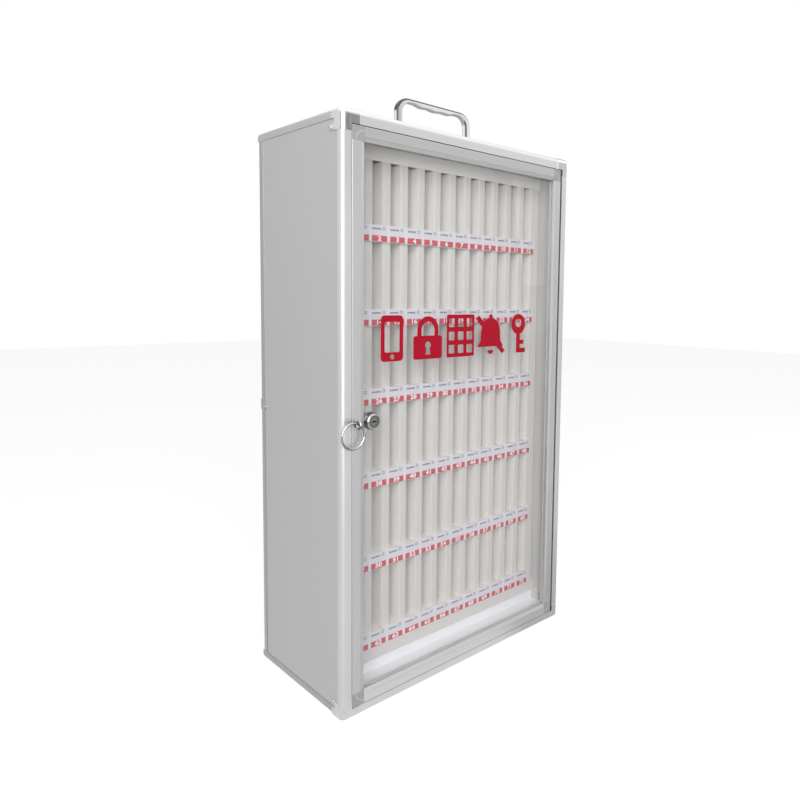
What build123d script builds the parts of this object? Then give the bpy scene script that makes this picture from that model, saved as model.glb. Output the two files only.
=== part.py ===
from build123d import *
import os
from math import cos, radians, sin, sqrt

# Phone locker cabinet: an aluminium-framed box with a glazed, locked front door and a rack of
# narrow upright pockets inside. Millimetres, +Z up, +Y towards the back, X to the right as seen
# from the front. The origin is the middle of the flat base.

# Driving dimensions
WIDTH = 405.0
DEPTH = 200.0
HEIGHT = 720.0

# Case frame. The corner caps stand this much proud of the extrusions that they join.
CAP_PROUD = 0.5
POST_LIP = 14.0
POST_RADIUS = 5.5
TOP_RAIL_RADIUS = 7.0
BOTTOM_RAIL_RADIUS = 1.5
TOP_LIP = 16.5
BOTTOM_LIP = 10.5
REBATE = 13.5
FRAME_DEPTH = 20.5
POST_STOP = 18.5
TOP_STOP = 25.0
BOTTOM_STOP = 19.0
CAP_REACH = 25.0
TOP_CAP_HEIGHT = 25.5
BOTTOM_CAP_HEIGHT = 19.0
CAP_ROUND = 7.0
CAP_SIDE_DEPTH = 14.5
EDGE_SIZE = 11.0
EDGE_RADIUS = 5.0
PANEL = 3.0
PANEL_INSET = 1.0
SIDE_PANEL_START = 9.5
GROOVE_DEPTH = 5.3
GROOVE_PLAY = 0.1

# Door
DOOR_LEFT = -187.5
DOOR_RIGHT = 186.0
DOOR_BOTTOM = 11.0
DOOR_TOP = 702.0
DOOR_THICK = 12.0
DOOR_FRAME = 17.0
DOOR_EDGE_ROUND = 3.0
BEAD_WIDE = 4.5
BEAD_DEEP = 1.6
LINE_WIDE = 0.5
LINE_DEEP = 0.4
HINGE_INSET = 5.4
PIN_RADIUS = 2.0
PIN_PLAY = 0.05
BUSH_RADIUS = 2.8
BUSH_LENGTH = 6.0
GLASS = 4.0
GLASS_FRONT = 6.4

# Lock and pull ring, both close to half height
LOCK_X = -158.0
LOCK_Z = 359.0
HEAD_PROUD = 2.5
HEAD_CHAMFER = 1.5
PLUG_SUNK = 0.3
PLUG_STEP = 0.7
LOCK_PLAY = 0.05
PLUG_RADIUS = 5.0
TAIL_RADIUS = 3.0
BARREL_RADIUS = 6.0
CAM_REACH = 18.5
CAM_HALF_WIDTH = 5.0
EYE_IN = 5.0
EYE_PROUD = 6.0
EYE_Z = 358.2
EYE_RADIUS = 4.2
EYE_WIRE = 1.1
RING_PIVOT_Z = 359.1
RING_RADIUS = 15.3
RING_WIRE = 1.15
RING_LEAN = 30.0

# Carrying handle on the lid
HANDLE_Y = -19.3
HANDLE_SPAN = 124.0
HANDLE_RISE = 55.5
HANDLE_LEG = 9.5
HANDLE_BAR = 6.0
HANDLE_WIDE = 9.5
HANDLE_BEND = 20.0
GRIP_WAVES = 3
GRIP_DROP = 3.2
GRIP_SIDE_SHARE = 0.75
GRIP_RISE_SHARE = 0.6
GRIP_END = 6.0

# Rack of pockets
COLUMNS = 12
COLUMN_PITCH = 27.7
SHELF_LEVELS = (53.9, 157.9, 265.4, 371.7, 471.4, 575.7)
LIP_HEIGHT = 20.5
LIP_THICK = 2.5
LIP_FRONT = -63.1
LABEL_THICK = 0.6
CHANNEL_WIDE = 14.0
CHANNEL_WALL = 1.6
CHANNEL_ROUND = 3.5
BOARD = 5.0
RACK_WALL = 180.0
RACK_BACK = 94.0
FLOOR_TOP = 25.0
SKIRT_TOP = 37.5
SKIRT_THICK = 1.0
STRIP_WIDE = 3.5
STRIP_TOP = 40.0
HEADER_LOW = 675.0
HEADER_THICK = 3.0
CEILING = 692.0

# Places worked out from the driving dimensions
FRONT = -DEPTH / 2
BACK = DEPTH / 2
SIDE = WIDTH / 2
POST_FACE = SIDE - CAP_PROUD
FRAME_FRONT = FRONT + CAP_PROUD
FRAME_BACK = FRAME_FRONT + FRAME_DEPTH
FRAME_TOP = HEIGHT - CAP_PROUD
CAP_SIDE_BACK = FRONT + CAP_SIDE_DEPTH
STOP_FACE = FRAME_FRONT + REBATE
DOOR_BACK = FRONT + DOOR_THICK
HINGE_X = DOOR_RIGHT - HINGE_INSET
HINGE_Y = FRONT + DOOR_THICK / 2
CHANNEL_FRONT = LIP_FRONT + LIP_THICK
RACK_HALF = COLUMNS * COLUMN_PITCH / 2
EYE_X = DOOR_LEFT + EYE_IN
EYE_Y = FRONT - EYE_PROUD
SKIRT_FRONT = LIP_FRONT - SKIRT_THICK

TOLERANCE = 0.05

pieces = {}


def block(x0, x1, y0, y1, z0, z1):
    """A box between two corners."""
    centre = Pos((x0 + x1) / 2, (y0 + y1) / 2, (z0 + z1) / 2)
    return centre * Box(x1 - x0, y1 - y0, z1 - z0)


def upright(radius, x, y, z0, z1):
    """A cylinder along Z."""
    return Pos(x, y, (z0 + z1) / 2) * Cylinder(radius, z1 - z0)


def through(radius, x, z, y0, y1):
    """A cylinder along Y."""
    return Pos(x, (y0 + y1) / 2, z) * Rot(90, 0, 0) * Cylinder(radius, y1 - y0)


def across(radius, y, z, x0, x1):
    """A cylinder along X."""
    return Pos((x0 + x1) / 2, y, z) * Rot(0, 90, 0) * Cylinder(radius, x1 - x0)


def mirrored(shape):
    """The same shape on the other side of the cabinet."""
    return shape.mirror(Plane.YZ)


def window(x0, x1, y0, y1):
    """A rectangle in a section, between two corners."""
    return Pos((x0 + x1) / 2, (y0 + y1) / 2) * Rectangle(x1 - x0, y1 - y0)


# Panels. Each slides into a groove of the frame, so the frame is cut by a slightly larger copy.

PANEL_SIDE = POST_FACE - EDGE_SIZE + GROOVE_DEPTH
PANEL_FRONT = FRAME_BACK - GROOVE_DEPTH
SIDE_PANEL_FRONT = FRONT + SIDE_PANEL_START
PANEL_BACK = BACK - EDGE_SIZE + GROOVE_DEPTH
PANEL_LOW = EDGE_SIZE - GROOVE_DEPTH
PANEL_HIGH = FRAME_TOP - EDGE_SIZE + GROOVE_DEPTH
PANEL_OUT = POST_FACE - PANEL_INSET
LID_TOP = FRAME_TOP - PANEL_INSET

panel_corners = {
    "side_panel_left": (-PANEL_OUT, PANEL - PANEL_OUT, SIDE_PANEL_FRONT, PANEL_BACK, PANEL_LOW, PANEL_HIGH),
    "side_panel_right": (PANEL_OUT - PANEL, PANEL_OUT, SIDE_PANEL_FRONT, PANEL_BACK, PANEL_LOW, PANEL_HIGH),
    "top_panel": (-PANEL_SIDE, PANEL_SIDE, PANEL_FRONT, PANEL_BACK, LID_TOP - PANEL, LID_TOP),
    "bottom_panel": (-PANEL_SIDE, PANEL_SIDE, PANEL_FRONT, PANEL_BACK, 0, PANEL),
    "back_panel": (-PANEL_SIDE, PANEL_SIDE, BACK - PANEL, BACK, PANEL_LOW, PANEL_HIGH),
}


def grown(corners, play):
    """A block with every side moved outward by the play."""
    x0, x1, y0, y1, z0, z1 = corners
    return block(x0 - play, x1 + play, y0 - play, y1 + play, z0 - play, z1 + play)


panel_grooves = [grown(corners, GROOVE_PLAY) for corners in panel_corners.values()]


def grooved(part):
    """The part with a groove wherever a panel runs into it."""
    for groove in panel_grooves:
        part = part - groove
    return part


for name, corners in panel_corners.items():
    pieces[name] = grown(corners, 0)

# Screws of the handle pass the lid at the two legs.
SCREW_RADIUS = 2.5
SCREW_HEAD_RADIUS = 4.5
SCREW_HEAD = 3.0
HANDLE_PAD = 2.5
LEG_X = HANDLE_SPAN / 2
for side in (-1, 1):
    pieces["top_panel"] -= upright(SCREW_RADIUS, side * LEG_X, HANDLE_Y, LID_TOP - 2 * PANEL, HEIGHT)

# Front frame: posts and rails share one kind of section, a lip beside the door and a stop
# behind it. u runs inward from the outer face, v runs back from the front.


def frame_section(lip, radius, stop):
    start_v = radius - sqrt(radius**2 - (radius - min(lip, radius)) ** 2)
    mid = radius * (1 - cos(radians(45)))
    corner = ThreePointArc((0, radius), (mid, mid), (min(lip, radius), start_v))
    if lip > radius:
        front = [Line((radius, 0), (lip, 0))]
    else:
        front = []
    rest = Polyline(
        (lip, 0 if lip > radius else start_v),
        (lip, REBATE),
        (stop, REBATE),
        (stop, FRAME_DEPTH),
        (0, FRAME_DEPTH),
        (0, radius),
    )
    return make_face([corner, *front, rest])


CHAMBER_U = 5.6
CHAMBER_WALL = 1.3


def frame_bar(lip, radius, stop, length):
    """A length of frame section along Z, with its hollow chamber, centred on z = 0."""
    chamber = window(CHAMBER_U, stop - CHAMBER_WALL, REBATE + CHAMBER_WALL, FRAME_DEPTH - CHAMBER_WALL)
    return extrude(frame_section(lip, radius, stop) - chamber, amount=length / 2, both=True)


POST_LOW = BOTTOM_CAP_HEIGHT
POST_HIGH = HEIGHT - TOP_CAP_HEIGHT
RAIL_HALF = SIDE - CAP_REACH
post = frame_bar(POST_LIP, POST_RADIUS, POST_STOP, POST_HIGH - POST_LOW)
post = Pos(-POST_FACE, FRAME_FRONT, (POST_LOW + POST_HIGH) / 2) * post
post -= block(-POST_FACE, -PANEL_OUT, SIDE_PANEL_FRONT, FRAME_BACK, POST_LOW, POST_HIGH)
pieces["front_post_left"] = grooved(post)
pieces["front_post_right"] = grooved(mirrored(post))

top_bar = frame_bar(TOP_LIP, TOP_RAIL_RADIUS, TOP_STOP, 2 * RAIL_HALF)
pieces["top_front_rail"] = grooved(Pos(0, FRAME_FRONT, FRAME_TOP) * Rot(0, 90, 0) * top_bar)
bottom_bar = frame_bar(BOTTOM_LIP, BOTTOM_RAIL_RADIUS, BOTTOM_STOP, 2 * RAIL_HALF)
pieces["bottom_front_rail"] = grooved(Pos(0, FRAME_FRONT, 0) * Rot(0, -90, 0) * bottom_bar)

# Corner caps: moulded three-way corners with tongues into the posts and rails. Beside the panel
# the skin of the cap ends short, and an ear reaches back to be riveted to the panel.

RIVET_RADIUS = 1.3
RIVET_HEAD = 0.8
RIVET_HEAD_RADIUS = 2.2
TOP_EAR = (FRAME_BACK + 1.6, HEIGHT - 21.0, 3.0)
BOTTOM_EAR = (FRAME_BACK - 1.9, 18.0, 2.35)
TONGUE = 13.0


def tongue(stop, place):
    """A tongue that fills the chamber of a post or rail."""
    v0 = REBATE + CHAMBER_WALL
    v1 = FRAME_DEPTH - CHAMBER_WALL
    return place * block(CHAMBER_U, stop - CHAMBER_WALL, v0, v1, -TONGUE / 2, TONGUE / 2)


def outer_edges(cap, inner_x):
    """The cap's edges that lie on its front or its outer side."""
    return [e for e in cap.edges() if e.center().X < inner_x - 1 and e.center().Y < FRAME_BACK - 1]


def corner_cap(left, top):
    low, high = (POST_HIGH, HEIGHT) if top else (0, POST_LOW)
    inner_x = CAP_REACH - SIDE
    cap = block(-SIDE, inner_x, FRONT, FRAME_BACK, low, high)
    middle_z = (low + high) / 2
    edges = outer_edges(cap, inner_x)
    upright_edges = [e for e in edges if abs(e.center().Z - middle_z) < 1]
    if top:
        rim = [e for e in edges if abs(e.center().Z - high) < 1]
        cap = fillet(upright_edges + rim, CAP_ROUND)
    else:
        cap = fillet(upright_edges, CAP_ROUND)
        rim = [e for e in outer_edges(cap, inner_x) if abs(e.center().Z - low) < 1]
        cap = fillet(rim, BOTTOM_RAIL_RADIUS + CAP_PROUD)
    cap -= block(POST_LIP - POST_FACE, 0, FRONT - 1, STOP_FACE, BOTTOM_LIP, FRAME_TOP - TOP_LIP)
    cap -= block(-SIDE, -PANEL_OUT, CAP_SIDE_BACK, FRAME_BACK, EDGE_SIZE, FRAME_TOP - EDGE_SIZE)
    ear_y, ear_z, ear_radius = TOP_EAR if top else BOTTOM_EAR
    cap += across(ear_radius, ear_y, ear_z, -SIDE, -PANEL_OUT)
    cap += block(-SIDE, -PANEL_OUT, CAP_SIDE_BACK - 1, ear_y, ear_z - ear_radius, ear_z + ear_radius)
    cap -= across(RIVET_RADIUS, ear_y, ear_z, -SIDE - 1, -PANEL_OUT)
    post_end = POST_HIGH - TONGUE / 2 if top else POST_LOW + TONGUE / 2
    cap += tongue(POST_STOP, Pos(-POST_FACE, FRAME_FRONT, post_end))
    rail_end = TONGUE / 2 - RAIL_HALF
    if top:
        cap += tongue(TOP_STOP, Pos(rail_end, FRAME_FRONT, FRAME_TOP) * Rot(0, 90, 0))
    else:
        cap += tongue(BOTTOM_STOP, Pos(rail_end, FRAME_FRONT, 0) * Rot(0, -90, 0))
    return grooved(cap if left else mirrored(cap))


for top in (True, False):
    for left in (True, False):
        name = f"corner_cap_{'top' if top else 'bottom'}_{'left' if left else 'right'}"
        pieces[name] = corner_cap(left, top)

# The door turns on pins in plastic bushes, set in the two right-hand caps.
bush_low = upright(BUSH_RADIUS, HINGE_X, HINGE_Y, BOTTOM_LIP - BUSH_LENGTH, BOTTOM_LIP)
bush_high = upright(BUSH_RADIUS, HINGE_X, HINGE_Y, FRAME_TOP - TOP_LIP, FRAME_TOP - TOP_LIP + BUSH_LENGTH)
pieces["corner_cap_bottom_right"] -= bush_low
pieces["corner_cap_top_right"] -= bush_high
pin_hole = upright(PIN_RADIUS + PIN_PLAY, HINGE_X, HINGE_Y, 0, HEIGHT)
pieces["pivot_bushes"] = [bush_low - pin_hole, bush_high - pin_hole]

# Rivets through the ears of the caps into the side panels
rivets = []
for ear_y, ear_z, ear_radius in (BOTTOM_EAR, TOP_EAR):
    shank = across(RIVET_RADIUS, ear_y, ear_z, -SIDE, PANEL - PANEL_OUT)
    head = across(RIVET_HEAD_RADIUS, ear_y, ear_z, -SIDE - RIVET_HEAD, -SIDE)
    rivets += [shank + head, mirrored(shank + head)]
    pieces["side_panel_left"] -= shank
    pieces["side_panel_right"] -= mirrored(shank)
pieces["cap_rivets"] = rivets

# Edge extrusions along the sides and round the back. The section's rounded corner is the
# cabinet's outer edge.
SCREW_PORT = 7.7
CORNER_SCREW_RADIUS = 2.0


def edge_bar(length):
    section = window(0, EDGE_SIZE, 0, EDGE_SIZE)
    corner = section.vertices().sort_by(Axis.X)[0:2].sort_by(Axis.Y)[0]
    section = fillet(corner, EDGE_RADIUS) - Pos(SCREW_PORT, SCREW_PORT) * Circle(CORNER_SCREW_RADIUS)
    return extrude(section, amount=length / 2, both=True)


SIDE_RAIL_LENGTH = BACK - FRAME_BACK
SIDE_RAIL_Y = (BACK + FRAME_BACK) / 2
BACK_POST_LENGTH = FRAME_TOP - 2 * EDGE_SIZE
side_bar = edge_bar(SIDE_RAIL_LENGTH)
top_side = Pos(-POST_FACE, SIDE_RAIL_Y, FRAME_TOP) * Rot(-90, 0, 0) * side_bar
bottom_side = Pos(-POST_FACE, SIDE_RAIL_Y, 0) * Rot(-90, 0, 0) * side_bar.mirror(Plane.XZ)
back_post = edge_bar(BACK_POST_LENGTH).mirror(Plane.XZ)
back_post = Pos(-POST_FACE, BACK, EDGE_SIZE + BACK_POST_LENGTH / 2) * back_post

# Seen from the side, the back ends of the side rails are rounded.
END_ROUND = 8.0
envelope = block(-SIDE, SIDE, FRAME_BACK, BACK, 0, FRAME_TOP)
envelope = fillet(envelope.edges().filter_by(Axis.X).sort_by(Axis.Y)[2:4], END_ROUND)
top_side = top_side & envelope
bottom_side = bottom_side & envelope

# Long screws hold the side rails to the back posts.
CORNER_SCREW_LENGTH = 24.0
CORNER_HEAD_RADIUS = 3.6
CORNER_HEAD = 2.0
screw_x = -POST_FACE + SCREW_PORT
screw_y = BACK - SCREW_PORT
screw_low = PANEL_INSET
screw_high = FRAME_TOP - PANEL_INSET
screw_up = upright(CORNER_SCREW_RADIUS, screw_x, screw_y, screw_low, CORNER_SCREW_LENGTH)
screw_up += upright(CORNER_HEAD_RADIUS, screw_x, screw_y, screw_low, screw_low + CORNER_HEAD)
screw_down = upright(CORNER_SCREW_RADIUS, screw_x, screw_y, FRAME_TOP - CORNER_SCREW_LENGTH, screw_high)
screw_down += upright(CORNER_HEAD_RADIUS, screw_x, screw_y, screw_high - CORNER_HEAD, screw_high)
head_low = upright(CORNER_HEAD_RADIUS, screw_x, screw_y, -1, screw_low)
head_high = upright(CORNER_HEAD_RADIUS, screw_x, screw_y, screw_high, HEIGHT)
bottom_side = bottom_side - screw_up - head_low
top_side = top_side - screw_down - head_high
panel_notch = upright(CORNER_HEAD_RADIUS, screw_x, screw_y, 0, HEIGHT)
for notch in (panel_notch, mirrored(panel_notch)):
    pieces["bottom_panel"] -= notch
    pieces["top_panel"] -= notch

pieces["top_side_rail_left"] = grooved(top_side)
pieces["top_side_rail_right"] = grooved(mirrored(top_side))
pieces["bottom_side_rail_left"] = grooved(bottom_side)
pieces["bottom_side_rail_right"] = grooved(mirrored(bottom_side))
pieces["back_post_left"] = grooved(back_post)
pieces["back_post_right"] = grooved(mirrored(back_post))
pieces["corner_screws"] = [screw_up, screw_down, mirrored(screw_up), mirrored(screw_down)]

back_bar = edge_bar(2 * (POST_FACE - EDGE_SIZE))
pieces["top_back_rail"] = grooved(Pos(0, BACK, FRAME_TOP) * Rot(0, 90, 0) * back_bar.mirror(Plane.XZ))
pieces["bottom_back_rail"] = grooved(Pos(0, BACK, 0) * Rot(0, -90, 0) * back_bar.mirror(Plane.XZ))

# Clips that hold the back panel, half way up each back post: a bar and an eyelet.
CLIP_Z = 360.0
CLIP_HALF = 7.0
CLIP_PROUD = 0.9
EYELET_Y = BACK - 11.0
CLIP_BAR = 2.5
EYELET_DROP = 3.2
EYELET_RADIUS = 3.4
EYELET_HOLE = 1.6
clip_face = -POST_FACE - CLIP_PROUD
clip_y = BACK - 3.0
eyelet_z = CLIP_Z - EYELET_DROP
clip = block(clip_face, -POST_FACE, clip_y - CLIP_BAR, clip_y, CLIP_Z - CLIP_HALF, CLIP_Z + CLIP_HALF)
clip += block(clip_face, -POST_FACE, EYELET_Y, clip_y, eyelet_z - CLIP_BAR / 2, eyelet_z + CLIP_BAR / 2)
clip += across(EYELET_RADIUS, EYELET_Y, eyelet_z, clip_face, -PANEL_OUT)
clip -= across(EYELET_HOLE, EYELET_Y, eyelet_z, clip_face - 1, -POST_FACE)
clip = clip - pieces["back_post_left"]
pieces["back_clips"] = [clip, mirrored(clip)]

# Rack insert: boards of foamed plastic, glued into an open-fronted box.
CEILING_TOP = CEILING + BOARD
side_board = block(-RACK_WALL - BOARD, -RACK_WALL, FRAME_BACK, RACK_BACK, PANEL, CEILING_TOP)
side_board -= block(-RACK_WALL - BOARD, -RACK_WALL, BACK - EDGE_SIZE, RACK_BACK, PANEL, EDGE_SIZE)
pieces["rack_side_left"] = side_board
pieces["rack_side_right"] = mirrored(side_board)
back_half = RACK_WALL + BOARD
pieces["rack_back"] = block(-back_half, back_half, RACK_BACK, BACK - PANEL, EDGE_SIZE, CEILING_TOP)
pieces["rack_floor"] = block(-RACK_WALL, RACK_WALL, STOP_FACE, RACK_BACK, BOTTOM_STOP, FLOOR_TOP)
pieces["rack_top"] = block(-RACK_WALL, RACK_WALL, FRAME_BACK, RACK_BACK, CEILING, CEILING_TOP)
header_back = CHANNEL_FRONT + HEADER_THICK
pieces["rack_header"] = block(-RACK_WALL, RACK_WALL, CHANNEL_FRONT, header_back, HEADER_LOW, CEILING)
pieces["floor_skirt"] = block(-RACK_WALL, RACK_WALL, SKIRT_FRONT, LIP_FRONT, FLOOR_TOP, SKIRT_TOP)

# The plinth under the lowest shelf, and a strip in the angle of the floor and each side board
plinth = block(-RACK_WALL, RACK_WALL, LIP_FRONT, CHANNEL_FRONT, FLOOR_TOP, SHELF_LEVELS[0])
strip = block(-RACK_WALL, STRIP_WIDE - RACK_WALL, FRAME_BACK, SKIRT_FRONT, FLOOR_TOP, STRIP_TOP)
pieces["rack_plinth"] = [plinth, strip, mirrored(strip)]


def divider(wide):
    """A folded upright channel, open at the back, with its front edges rounded."""
    outer = window(-wide / 2, wide / 2, CHANNEL_FRONT, RACK_BACK)
    outer = fillet(outer.vertices().sort_by(Axis.Y)[0:2], CHANNEL_ROUND)
    half = wide / 2 - CHANNEL_WALL
    section = outer - window(-half, half, CHANNEL_FRONT + CHANNEL_WALL, RACK_BACK)
    return extrude(section, amount=HEADER_LOW - FLOOR_TOP)


inner_dividers = []
for column in range(1, COLUMNS):
    centre_x = column * COLUMN_PITCH - RACK_HALF
    inner_dividers.append(Pos(centre_x, 0, FLOOR_TOP) * divider(CHANNEL_WIDE))
pieces["pocket_dividers"] = inner_dividers

END_IN = RACK_HALF - CHANNEL_WIDE / 2
end_divider = Pos(-(RACK_WALL + END_IN) / 2, 0, FLOOR_TOP) * divider(RACK_WALL - END_IN)
pieces["end_dividers"] = [end_divider, mirrored(end_divider)]

labels = []
for row, low in enumerate(SHELF_LEVELS):
    high = low + LIP_HEIGHT
    shelf = block(-RACK_HALF, RACK_HALF, LIP_FRONT, CHANNEL_FRONT, low, high)
    for column in range(COLUMNS):
        centre_x = (column + 0.5) * COLUMN_PITCH - RACK_HALF
        half = (COLUMN_PITCH - CHANNEL_WIDE) / 2
        shelf += block(centre_x - half, centre_x + half, CHANNEL_FRONT, RACK_BACK, high - BOARD, high)
    pieces[f"shelf_{row + 1}"] = shelf
    labels.append(block(-RACK_HALF, RACK_HALF, LIP_FRONT - LABEL_THICK, LIP_FRONT, low, high))
pieces["label_strips"] = labels

# Door frame: four lengths of one hollow extrusion between moulded corner blocks. u runs in from
# the door's outer edge, v runs back from its front face. A line and a sloping bead edge the glass.
DOOR_WALL = 1.4
CHAMBER_IN = 8.6
SLOT_IN = 10.0
SLOT_FRONT = 6.0
SLOT_BACK = 10.8


def door_bar(length, edge_round):
    section = window(0, DOOR_FRAME, 0, DOOR_THICK)
    outer = section.vertices().sort_by(Axis.X)[0:2]
    section = fillet(outer, edge_round)
    section -= window(DOOR_WALL, CHAMBER_IN, DOOR_WALL, DOOR_THICK - DOOR_WALL)
    section -= window(SLOT_IN, DOOR_FRAME, SLOT_FRONT, SLOT_BACK)
    section -= window(SLOT_IN, DOOR_FRAME - DOOR_WALL, DOOR_WALL + BEAD_DEEP, SLOT_FRONT)
    bead = DOOR_FRAME - BEAD_WIDE
    section -= make_face(Polyline((bead, 0), (DOOR_FRAME, 0), (DOOR_FRAME, BEAD_DEEP), close=True))
    section -= window(bead - LINE_WIDE, bead, 0, LINE_DEEP)
    return extrude(section, amount=length / 2, both=True)


FRAME_LEFT = DOOR_LEFT + DOOR_FRAME
FRAME_RIGHT = DOOR_RIGHT - DOOR_FRAME
FRAME_LOW = DOOR_BOTTOM + DOOR_FRAME
FRAME_HIGH = DOOR_TOP - DOOR_FRAME
MIDDLE_X = (FRAME_LEFT + FRAME_RIGHT) / 2
MIDDLE_Z = (FRAME_LOW + FRAME_HIGH) / 2
SMALL_ROUND = 0.8

stile = door_bar(FRAME_HIGH - FRAME_LOW, SMALL_ROUND)
hinge_stile = door_bar(FRAME_HIGH - FRAME_LOW, DOOR_EDGE_ROUND)
rail = door_bar(FRAME_RIGHT - FRAME_LEFT, SMALL_ROUND)
pieces["door_stile_left"] = Pos(DOOR_LEFT, FRONT, MIDDLE_Z) * stile
pieces["door_stile_right"] = Pos(DOOR_RIGHT, FRONT, MIDDLE_Z) * mirrored(hinge_stile)
pieces["door_rail_top"] = Pos(MIDDLE_X, FRONT, DOOR_TOP) * Rot(0, 90, 0) * rail
pieces["door_rail_bottom"] = Pos(MIDDLE_X, FRONT, DOOR_BOTTOM) * Rot(0, -90, 0) * rail

# Glass, its rubber channel, and the corner blocks that close the frame
GLASS_IN = 10.8
GASKET_IN = 16.5


def door_slab(inset, y0, y1):
    """A slab of the door's outline, drawn in by the inset."""
    x0 = DOOR_LEFT + inset
    x1 = DOOR_RIGHT - inset
    return block(x0, x1, y0, y1, DOOR_BOTTOM + inset, DOOR_TOP - inset)


glass_y0 = FRONT + GLASS_FRONT
glass_y1 = glass_y0 + GLASS
glass = door_slab(GLASS_IN, glass_y0, glass_y1)
slot = door_slab(SLOT_IN, FRONT + SLOT_FRONT, FRONT + SLOT_BACK)
pieces["glass_gasket"] = slot - door_slab(GASKET_IN, FRONT, DOOR_BACK) - glass

LEG = 20.0


def inward(edge, side, start, end):
    """Two distances from an edge of the door, as coordinates in rising order."""
    return sorted((edge + side * start, edge + side * end))


def corner_block(x_edge, x_side, z_edge, z_side, edge_round):
    xs = inward(x_edge, x_side, 0, DOOR_FRAME)
    zs = inward(z_edge, z_side, 0, DOOR_FRAME)
    corner = block(*xs, FRONT, DOOR_BACK, *zs)
    outer = [e for e in corner.edges().filter_by(Axis.Z) if abs(e.center().X - x_edge) < TOLERANCE]
    corner = fillet(outer, edge_round)
    leg_front = FRONT + DOOR_WALL
    leg_back = DOOR_BACK - DOOR_WALL
    chamber_x = inward(x_edge, x_side, DOOR_WALL, CHAMBER_IN)
    chamber_z = inward(z_edge, z_side, DOOR_WALL, CHAMBER_IN)
    leg_x = inward(x_edge, x_side, DOOR_FRAME, DOOR_FRAME + LEG)
    leg_z = inward(z_edge, z_side, DOOR_FRAME, DOOR_FRAME + LEG)
    corner += block(*chamber_x, leg_front, leg_back, *leg_z)
    corner += block(*leg_x, leg_front, leg_back, *chamber_z)
    return corner - slot


corner_blocks = []
for z_edge, z_side in ((DOOR_BOTTOM, 1), (DOOR_TOP, -1)):
    corner_blocks.append(corner_block(DOOR_LEFT, 1, z_edge, z_side, SMALL_ROUND))
    corner_blocks.append(corner_block(DOOR_RIGHT, -1, z_edge, z_side, DOOR_EDGE_ROUND))

# Steel pivot pins, pressed into the two right-hand corner blocks
PIN_DEEP = 14.0
PIN_SHORT = 0.5
pin_start = BOTTOM_LIP - BUSH_LENGTH + PIN_SHORT
pin_end = FRAME_TOP - TOP_LIP + BUSH_LENGTH - PIN_SHORT
pin_low = upright(PIN_RADIUS, HINGE_X, HINGE_Y, pin_start, DOOR_BOTTOM + PIN_DEEP)
pin_high = upright(PIN_RADIUS, HINGE_X, HINGE_Y, DOOR_TOP - PIN_DEEP, pin_end)
pieces["pivot_pins"] = [pin_low, pin_high]
pieces["door_corner_blocks"] = [(corner - pin_low) - pin_high for corner in corner_blocks]

# Cam lock through the glass
HEAD_FRONT = FRONT - HEAD_PROUD
FLANGE_RADIUS = 11.0
HEAD_RADIUS = 9.3
FLANGE = 2.4
LOCK_BACK = -78.5
CAM_FRONT = -77.0
CAM_THICK = 2.0
flange_back = glass_y0
head = through(HEAD_RADIUS, LOCK_X, LOCK_Z, HEAD_FRONT, flange_back - FLANGE)
head = chamfer(head.edges().sort_by(Axis.Y)[0], HEAD_CHAMFER)
lock = head + through(FLANGE_RADIUS, LOCK_X, LOCK_Z, flange_back - FLANGE, flange_back)
lock += through(BARREL_RADIUS, LOCK_X, LOCK_Z, flange_back, LOCK_BACK)
lock -= through(PLUG_RADIUS + LOCK_PLAY, LOCK_X, LOCK_Z, HEAD_FRONT - 1, LOCK_BACK + 1)
pieces["lock_body"] = lock
pieces["door_glass"] = glass - through(BARREL_RADIUS, LOCK_X, LOCK_Z, glass_y0 - 1, glass_y1 + 1)

NUT_ACROSS = 17.0
NUT_THICK = 4.0
nut = extrude(RegularPolygon(NUT_ACROSS / 2, 6, major_radius=False), amount=NUT_THICK)
nut = Pos(LOCK_X, glass_y1 + NUT_THICK, LOCK_Z) * Rot(90, 0, 0) * nut
pieces["lock_nut"] = nut - through(BARREL_RADIUS, LOCK_X, LOCK_Z, glass_y1 - 1, glass_y1 + NUT_THICK + 1)

KEYWAY_WIDE = 6.5
KEYWAY_HIGH = 1.6
KEYWAY_DEEP = 8.0
plug_end = CAM_FRONT - PLUG_STEP
plug = through(PLUG_RADIUS, LOCK_X, LOCK_Z, HEAD_FRONT + PLUG_SUNK, plug_end)
plug += through(TAIL_RADIUS, LOCK_X, LOCK_Z, plug_end, CAM_FRONT + CAM_THICK)
plug -= block(
    LOCK_X - KEYWAY_WIDE / 2, LOCK_X + KEYWAY_WIDE / 2, HEAD_FRONT, HEAD_FRONT + KEYWAY_DEEP,
    LOCK_Z - KEYWAY_HIGH / 2, LOCK_Z + KEYWAY_HIGH / 2,
)
pieces["lock_plug"] = plug

# The cam hangs down while the door is free, and turns behind the strike to lock.
cam_back = CAM_FRONT + CAM_THICK
cam_shape = Circle(CAM_HALF_WIDTH) + window(-CAM_HALF_WIDTH, CAM_HALF_WIDTH, -CAM_REACH, 0)
cam_shape = cam_shape & Circle(CAM_REACH)
cam = Pos(LOCK_X, cam_back, LOCK_Z) * Rot(90, 0, 0) * extrude(cam_shape, amount=CAM_THICK)
pieces["lock_cam"] = cam - through(TAIL_RADIUS, LOCK_X, LOCK_Z, CAM_FRONT - 1, cam_back + 1)

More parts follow.
